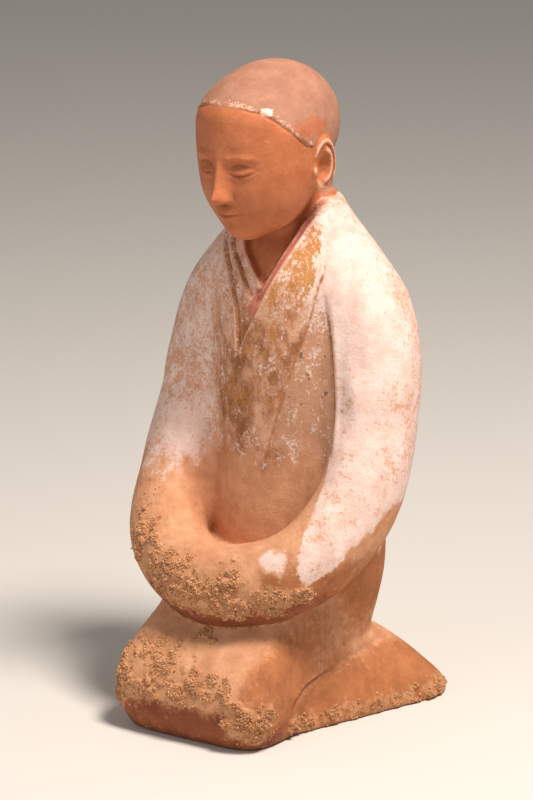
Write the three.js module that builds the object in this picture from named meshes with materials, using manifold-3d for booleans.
// A kneeling attendant in fired clay, moulded as one piece: hands joined inside long sleeves, head bowed.
// Millimetres, +Z up. The figure faces -Y, its left side is +X, and the origin is on the ground under its
// middle.
import * as THREE from "three";
import { mergeVertices } from "three/addons/utils/BufferGeometryUtils.js";
import Module from "manifold-3d";

const wasm = await Module();
wasm.setup();

const CLAY = new THREE.MeshStandardMaterial({ color: 0xb9784f, roughness: 0.85, metalness: 0 });

// ---- Driving sizes ----

// The robed trunk and upper arms, level by level: the trunk's middle and half sizes, then each arm's middle
// and half sizes. Below the elbows the arms shrink to webs that tie the sleeves to the trunk. Front to back
// is measured from a line through the elbows, and the finished figure is moved at the end so that the origin
// is in its middle.
const TRUNK = [
  { z: 38, middle: 16, wide: 41, deep: 35, armOut: 20, armY: 10, armWide: 8, armDeep: 8 },
  { z: 60, middle: 16, wide: 47, deep: 40.5, armOut: 20, armY: 10, armWide: 8, armDeep: 8 },
  { z: 80, middle: 15.5, wide: 52, deep: 43.5, armOut: 33, armY: 3, armWide: 9, armDeep: 10 },
  { z: 105, middle: 14, wide: 54, deep: 44, armOut: 45, armY: -3, armWide: 13, armDeep: 17 },
  { z: 135, middle: 12, wide: 53, deep: 40, armOut: 50, armY: 0, armWide: 15, armDeep: 21 },
  { z: 160, middle: 11, wide: 53, deep: 39, armOut: 59, armY: 3, armWide: 22, armDeep: 25 },
  { z: 185, middle: 11, wide: 53, deep: 40, armOut: 61.5, armY: 5, armWide: 25, armDeep: 28 },
  { z: 210, middle: 11, wide: 53, deep: 41, armOut: 59.5, armY: 9.5, armWide: 25, armDeep: 27 },
  { z: 235, middle: 11.5, wide: 54, deep: 41, armOut: 54, armY: 12.5, armWide: 24, armDeep: 26 },
  { z: 252, middle: 12, wide: 58, deep: 39, armOut: 46.5, armY: 14, armWide: 22.5, armDeep: 24 },
  { z: 266, middle: 12.5, wide: 55, deep: 35, armOut: 36, armY: 14, armWide: 17, armDeep: 18 },
  { z: 280, middle: 13, wide: 43, deep: 29, armOut: 24, armY: 12, armWide: 10, armDeep: 10 },
  { z: 291, middle: 11, wide: 33, deep: 26, armOut: 10, armY: 10, armWide: 8, armDeep: 8 },
  { z: 300, middle: 9, wide: 28, deep: 25, armOut: 6, armY: 9, armWide: 6, armDeep: 6 },
];
const ARM_BLEND = 9;

// The robe's three layers and the skin under them: how far each lies inside the outer robe, and its neck
// opening as points across and up, from one shoulder down to the crossing and up to the other.
const ROBE_LAYERS = [
  {
    inset: 0,
    opening: [[33, 310], [17, 266], [3, 235], [-10, 211], [-12, 236], [-21, 256], [-34, 270], [-34, 310]],
  },
  {
    inset: 1.8,
    opening: [[29, 310], [13, 268], [2, 240], [-4, 245], [-14, 257.5], [-31, 272], [-31, 310]],
  },
  {
    inset: 3.6,
    opening: [[26, 310], [19, 287], [9, 261], [3, 251], [-5, 259], [-15, 268], [-26, 280], [-26, 310]],
  },
];
const SKIN_INSET = 8;
const OPENING_BACK = 8;
const CHEST_BOTTOM = 206;

// The border of the left lapel, which crosses over the right one and runs down to the waist.
const LAPEL = {
  rise: 0.9,
  bottom: 145,
  outline: [
    [34, 312], [17, 266], [3, 235], [-10, 211], [-8, 196],
    [3, 150], [8, 150], [22, 194], [35, 235], [40, 262],
  ],
};

// The sleeves run from the upper arms down and round to the joined hands. Stations for the left half.
const SLEEVE = [
  { at: [55, 11, 222], wide: 19, deep: 22 },
  { at: [62.5, 5, 180], wide: 24, deep: 26 },
  { at: [65, -15, 132], wide: 22.5, deep: 26 },
  { at: [48, -45, 98], wide: 22.5, deep: 25 },
  { at: [0, -61, 84], wide: 23.5, deep: 25 },
];

// The lap, level by level: where it starts and ends from front to back, and its half widths there.
const LAP = [
  { z: 0, front: -92, back: 44, frontHalf: 50, backHalf: 40 },
  { z: 10, front: -98, back: 44, frontHalf: 54, backHalf: 40 },
  { z: 20, front: -100, back: 46, frontHalf: 56, backHalf: 40 },
  { z: 36, front: -97, back: 46, frontHalf: 55, backHalf: 40 },
  { z: 50, front: -87, back: 46, frontHalf: 52, backHalf: 41 },
  { z: 62, front: -72, back: 44, frontHalf: 47, backHalf: 43 },
  { z: 78, front: -53, back: 40, frontHalf: 44, backHalf: 46 },
  { z: 97, front: -46, back: 36, frontHalf: 46, backHalf: 48 },
];
const LAP_TURN = 5;
const LAP_ASIDE = -4;
const LAP_SQUARE = 5.5;

// The hem over the folded shins and feet, level by level, as the lap is.
const HEM = [
  { z: 0, front: -74, back: 78, frontHalf: 42, backHalf: 74 },
  { z: 9, front: -74, back: 78, frontHalf: 42, backHalf: 73.5 },
  { z: 17, front: -72, back: 71, frontHalf: 41, backHalf: 67 },
  { z: 29, front: -66, back: 61, frontHalf: 40, backHalf: 56 },
  { z: 42, front: -50, back: 48, frontHalf: 37, backHalf: 40 },
];
const HEM_SQUARE = 7;

// The neck, and the hair that is gathered at its back and runs down into the collar: middles and half sizes.
const NECK = { at: [0, 4, 306], size: [20, 19.5, 40] };
const NAPE_HAIR = { at: [0, 20, 316], size: [18, 12.5, 34] };

// The head: its middle, between the ears, and how far it is bowed.
const HEAD = { middle: [0, -14, 331], nod: 13 };

// Masses of the head in its own frame: face towards -Y, middle between the ears. Each is an ellipsoid that
// blends with the ones before it, and a hollow is taken away.
const HEAD_MASSES = [
  { name: "cranium", at: [0, 6, 9], size: [35.5, 39.5, 35], blend: 1 },
  { name: "forehead", at: [0, -17, 9], size: [27, 22, 25], blend: 18 },
  { name: "cheeks", at: [0, -14, -14], size: [32, 28, 24], blend: 12 },
  { name: "jaw", at: [0, -13, -27], size: [25, 25, 20], blend: 12 },
  { name: "eye socket", at: [14, -48, 0], size: [9, 6, 5], blend: 6, hollow: true },
  { name: "nose ridge", at: [0, -42, -7], size: [3.6, 5, 12], blend: 5 },
  { name: "nose tip", at: [0, -44, -14.5], size: [5.5, 5.5, 4], blend: 4 },
  { name: "mouth", at: [0, -36, -26], size: [9, 6, 4.5], blend: 6 },
  { name: "chin", at: [0, -30, -39], size: [10, 8, 8], blend: 9 },
];

// The hair is a close cap, a little proud of the skin: its region as points front to back and up, seen from
// the side.
const HAIR = {
  rise: 1.1,
  outline: [[-60, 27], [-36, 26], [-10, 6], [-2, 2], [4, -8], [6, -60], [60, -60], [60, 70], [-60, 70]],
};

// The left ear: a leaf of clay with a bowl pressed into its outer face, leaning back and turned out.
const EAR = {
  at: [34.5, 3, -10],
  thick: 5,
  long: 9,
  tall: 16,
  lean: 12,
  turn: 14,
  bowl: 4.5,
  bowlWidth: 0.65,
};

// How far rays reach for a surface, longer than any half size of the trunk or the head.
const REACH = 120;

// ---- Tools ----

// A closed, merged geometry as a manifold-3d solid.
function solidOf(geometry) {
  return new wasm.Manifold(
    new wasm.Mesh({
      numProp: 3,
      vertProperties: new Float32Array(geometry.attributes.position.array),
      triVerts: new Uint32Array(geometry.index.array),
    }),
  );
}

function geometryOf(solid) {
  const mesh = solid.getMesh();
  const places = new Float32Array(mesh.numVert * 3);
  for (let i = 0; i < mesh.numVert; i++)
    places.set(mesh.vertProperties.subarray(i * mesh.numProp, i * mesh.numProp + 3), i * 3);
  const geometry = new THREE.BufferGeometry();
  geometry.setAttribute("position", new THREE.BufferAttribute(places, 3));
  geometry.setIndex(new THREE.BufferAttribute(mesh.triVerts, 1));
  geometry.computeVertexNormals();
  return geometry;
}

// Merges the seams of a plain shape, then moves each vertex to where place(vertex) puts it.
function reshape(shape, place) {
  for (const name of ["normal", "uv"]) shape.deleteAttribute(name);
  const geometry = mergeVertices(shape, 1e-5);
  const at = geometry.attributes.position;
  const point = new THREE.Vector3();
  for (let i = 0; i < at.count; i++) {
    point.fromBufferAttribute(at, i);
    const moved = place(point);
    at.setXYZ(i, moved.x, moved.y, moved.z);
  }
  return geometry;
}

// Rows of sizes as a smooth function of one of them: at(value) gives the others there.
function smoothRows(rows, key) {
  const names = Object.keys(rows[0]).filter((name) => name !== key);
  const places = rows.map((row) => row[key]);
  const values = rows.flatMap((row) => names.map((name) => row[name]));
  const curve = new THREE.CubicInterpolant(places, values, names.length);
  return (value) => {
    const found = curve.evaluate(THREE.MathUtils.clamp(value, places[0], places.at(-1)));
    return Object.fromEntries(names.map((name, i) => [name, found[i]]));
  };
}

const HALVINGS = 24;
const signedPower = (value, power) => Math.sign(value) * Math.abs(value) ** power;

// The lesser of two distances, rounded where they meet.
function softMin(a, b, reach) {
  const share = THREE.MathUtils.clamp(0.5 + (b - a) / (2 * reach), 0, 1);
  return THREE.MathUtils.lerp(b, a, share) - reach * share * (1 - share);
}

// Distance outside an upright ellipse, negative inside, near enough for blending.
const ellipseGap = (x, y, wide, deep) => (Math.hypot(x / wide, y / deep) - 1) * Math.min(wide, deep);

// The outermost distance along a ray at which gapAt(distance) is still negative: steps in, then halves the
// step.
function outermost(gapAt) {
  let outside = REACH;
  while (outside > 1 && gapAt(outside - 1) > 0) outside -= 1;
  let inside = outside - 1;
  for (let i = 0; i < HALVINGS; i++) {
    const between = (inside + outside) / 2;
    if (gapAt(between) > 0) outside = between;
    else inside = between;
  }
  return outside;
}

// ---- Trunk and upper arms ----
const SIDE_CROWDING = 0.2;
const trunkAt = smoothRows(TRUNK, "z");

function trunkGap(x, y, z) {
  const row = trunkAt(z);
  const trunk = ellipseGap(x, y - row.middle, row.wide, row.deep);
  const arm = ellipseGap(Math.abs(x) - row.armOut, y - row.armY, row.armWide, row.armDeep);
  return softMin(trunk, arm, ARM_BLEND);
}

// The trunk's own shape, drawn in by inset, between two levels. Its columns crowd towards the arms.
function trunkShell({ inset = 0, bottom = TRUNK[0].z, top = TRUNK.at(-1).z, levels = 26 }) {
  const drum = new THREE.CylinderGeometry(1, 1, 1, 40, levels);
  return reshape(drum, (v) => {
    const z = THREE.MathUtils.lerp(bottom, top, v.y + 0.5);
    const { middle } = trunkAt(z);
    const even = Math.atan2(-v.z, v.x);
    const angle = even - SIDE_CROWDING * Math.sin(2 * even);
    const onAxis = Math.hypot(v.x, v.z) < 0.5;
    const gapAt = (r) => trunkGap(r * Math.cos(angle), middle + r * Math.sin(angle), z) + inset;
    const radius = onAxis ? 0 : outermost(gapAt);
    return new THREE.Vector3(radius * Math.cos(angle), middle + radius * Math.sin(angle), z);
  });
}

// A block with the given outline across and up, running from the sides of the neck out past the front.
function frontBlock(outline) {
  const shape = new THREE.Shape(outline.map(([x, z]) => new THREE.Vector2(x, z)));
  const block = new THREE.ExtrudeGeometry(shape, { depth: REACH, bevelEnabled: false });
  return reshape(block, (v) => new THREE.Vector3(v.x, OPENING_BACK - v.z, v.y));
}

function trunk() {
  const chest = { bottom: CHEST_BOTTOM, levels: 9 };
  let robe = solidOf(trunkShell({ inset: SKIN_INSET, ...chest }));
  for (const { inset, opening } of ROBE_LAYERS) {
    const layer = solidOf(trunkShell(inset === 0 ? {} : { inset, ...chest }));
    robe = robe.add(layer.subtract(solidOf(frontBlock(opening))));
  }
  const lapel = solidOf(trunkShell({ inset: -LAPEL.rise, bottom: LAPEL.bottom, levels: 14 }));
  return robe.add(lapel.intersect(solidOf(frontBlock(LAPEL.outline))));
}

// ---- Sleeves ----
const SLEEVE_UP = new THREE.Vector3(0, 1, -1);

function sleeves() {
  const rightHalf = SLEEVE.slice(0, -1).reverse();
  const stations = [...SLEEVE, ...rightHalf.map((s) => ({ ...s, at: [-s.at[0], s.at[1], s.at[2]] }))];
  const path = new THREE.CatmullRomCurve3(stations.map((s) => new THREE.Vector3(...s.at)));
  const sizes = new THREE.CatmullRomCurve3(stations.map((s) => new THREE.Vector3(s.wide, s.deep, 0)));
  const tube = new THREE.CylinderGeometry(1, 1, 1, 22, 40);
  return reshape(tube, (v) => {
    const along = 0.5 - v.y;
    const tangent = path.getTangent(along);
    const outward = new THREE.Vector3().crossVectors(tangent, SLEEVE_UP).normalize();
    const upward = new THREE.Vector3().crossVectors(outward, tangent).normalize();
    const radius = Math.hypot(v.x, v.z);
    const angle = Math.atan2(v.z, v.x);
    const size = sizes.getPoint(along);
    return path
      .getPoint(along)
      .addScaledVector(outward, radius * size.x * Math.cos(angle))
      .addScaledVector(upward, -radius * size.y * Math.sin(angle));
  });
}

// ---- Lap and hem: level sections that are rounded oblongs, wider at one end than at the other ----
function layered(rows, { around, levels, square }) {
  const rowAt = smoothRows(rows, "z");
  const drum = new THREE.CylinderGeometry(1, 1, 1, around, levels);
  return reshape(drum, (v) => {
    const z = THREE.MathUtils.lerp(rows[0].z, rows.at(-1).z, v.y + 0.5);
    const row = rowAt(z);
    const radius = Math.hypot(v.x, v.z);
    const angle = Math.atan2(-v.z, v.x);
    const across = radius * signedPower(Math.cos(angle), 2 / square);
    const along = radius * signedPower(Math.sin(angle), 2 / square);
    const half = THREE.MathUtils.lerp(row.frontHalf, row.backHalf, (along + 1) / 2);
    return new THREE.Vector3(across * half, THREE.MathUtils.lerp(row.front, row.back, (along + 1) / 2), z);
  });
}

function lap() {
  const block = layered(LAP, { around: 36, levels: 11, square: LAP_SQUARE });
  return block.rotateZ(THREE.MathUtils.degToRad(LAP_TURN)).translate(LAP_ASIDE, 0, 0);
}

// ---- Neck and the hair at its nape ----
function ball({ at, size }, around, levels) {
  return reshape(new THREE.SphereGeometry(1, around, levels), (v) => {
    return new THREE.Vector3(at[0] + v.x * size[0], at[1] - v.z * size[1], at[2] + v.y * size[2]);
  });
}

// ---- Head ----
function massGap(mass, x, y, z) {
  const [cx, cy, cz] = mass.at;
  const [sx, sy, sz] = mass.size;
  const side = cx === 0 ? x : Math.abs(x);
  return (Math.hypot((side - cx) / sx, (y - cy) / sy, (z - cz) / sz) - 1) * Math.min(sx, sy, sz);
}

function headGap(x, y, z) {
  let gap = Infinity;
  for (const mass of HEAD_MASSES) {
    const own = massGap(mass, x, y, z);
    if (gap === Infinity) gap = own;
    else if (mass.hollow) gap = -softMin(-gap, own, mass.blend);
    else gap = softMin(gap, own, mass.blend);
  }
  return gap;
}

function skull(grow) {
  return reshape(new THREE.SphereGeometry(1, 44, 32), (v) => {
    const away = new THREE.Vector3(v.x, -v.z, v.y).normalize();
    const gapAt = (r) => headGap(r * away.x, r * away.y, r * away.z) - grow;
    return away.multiplyScalar(outermost(gapAt));
  });
}

function hair() {
  const shape = new THREE.Shape(HAIR.outline.map(([y, z]) => new THREE.Vector2(y, z)));
  const block = new THREE.ExtrudeGeometry(shape, { depth: 2 * REACH, bevelEnabled: false });
  const region = reshape(block, (v) => new THREE.Vector3(v.z - REACH, v.x, v.y));
  return solidOf(skull(HAIR.rise)).intersect(solidOf(region));
}

function ear() {
  const leaf = reshape(new THREE.SphereGeometry(1, 14, 12), (v) => {
    const fromBowl = Math.hypot(v.z, v.y) / EAR.bowlWidth;
    const press = EAR.bowl * Math.max(0, 1 - fromBowl ** 2) * Math.max(v.x, 0);
    return new THREE.Vector3(v.x * EAR.thick - press, -v.z * EAR.long, v.y * EAR.tall);
  });
  leaf.rotateX(THREE.MathUtils.degToRad(-EAR.lean));
  leaf.rotateZ(THREE.MathUtils.degToRad(-EAR.turn));
  return leaf.translate(...EAR.at);
}

function head() {
  const leftEar = solidOf(ear());
  const parts = [solidOf(skull(0)), hair(), leftEar, leftEar.mirror([1, 0, 0])];
  return parts.reduce((whole, part) => whole.add(part)).rotate([HEAD.nod, 0, 0]).translate(HEAD.middle);
}

// ---- The figure: every mass fused into one clay body, its box centred on the origin ----
const masses = [
  trunk(),
  solidOf(sleeves()),
  solidOf(lap()),
  solidOf(layered(HEM, { around: 36, levels: 6, square: HEM_SQUARE })),
  solidOf(ball(NECK, 20, 14)),
  solidOf(ball(NAPE_HAIR, 18, 14)),
  head(),
];
const geometry = geometryOf(masses.reduce((whole, mass) => whole.add(mass)));
geometry.computeBoundingBox();
const middle = geometry.boundingBox.getCenter(new THREE.Vector3());
geometry.translate(-middle.x, -middle.y, -geometry.boundingBox.min.z);

const mesh = new THREE.Mesh(geometry, CLAY);
mesh.name = "kneeling_figure";

const group = new THREE.Group();
group.add(mesh);
export default group;
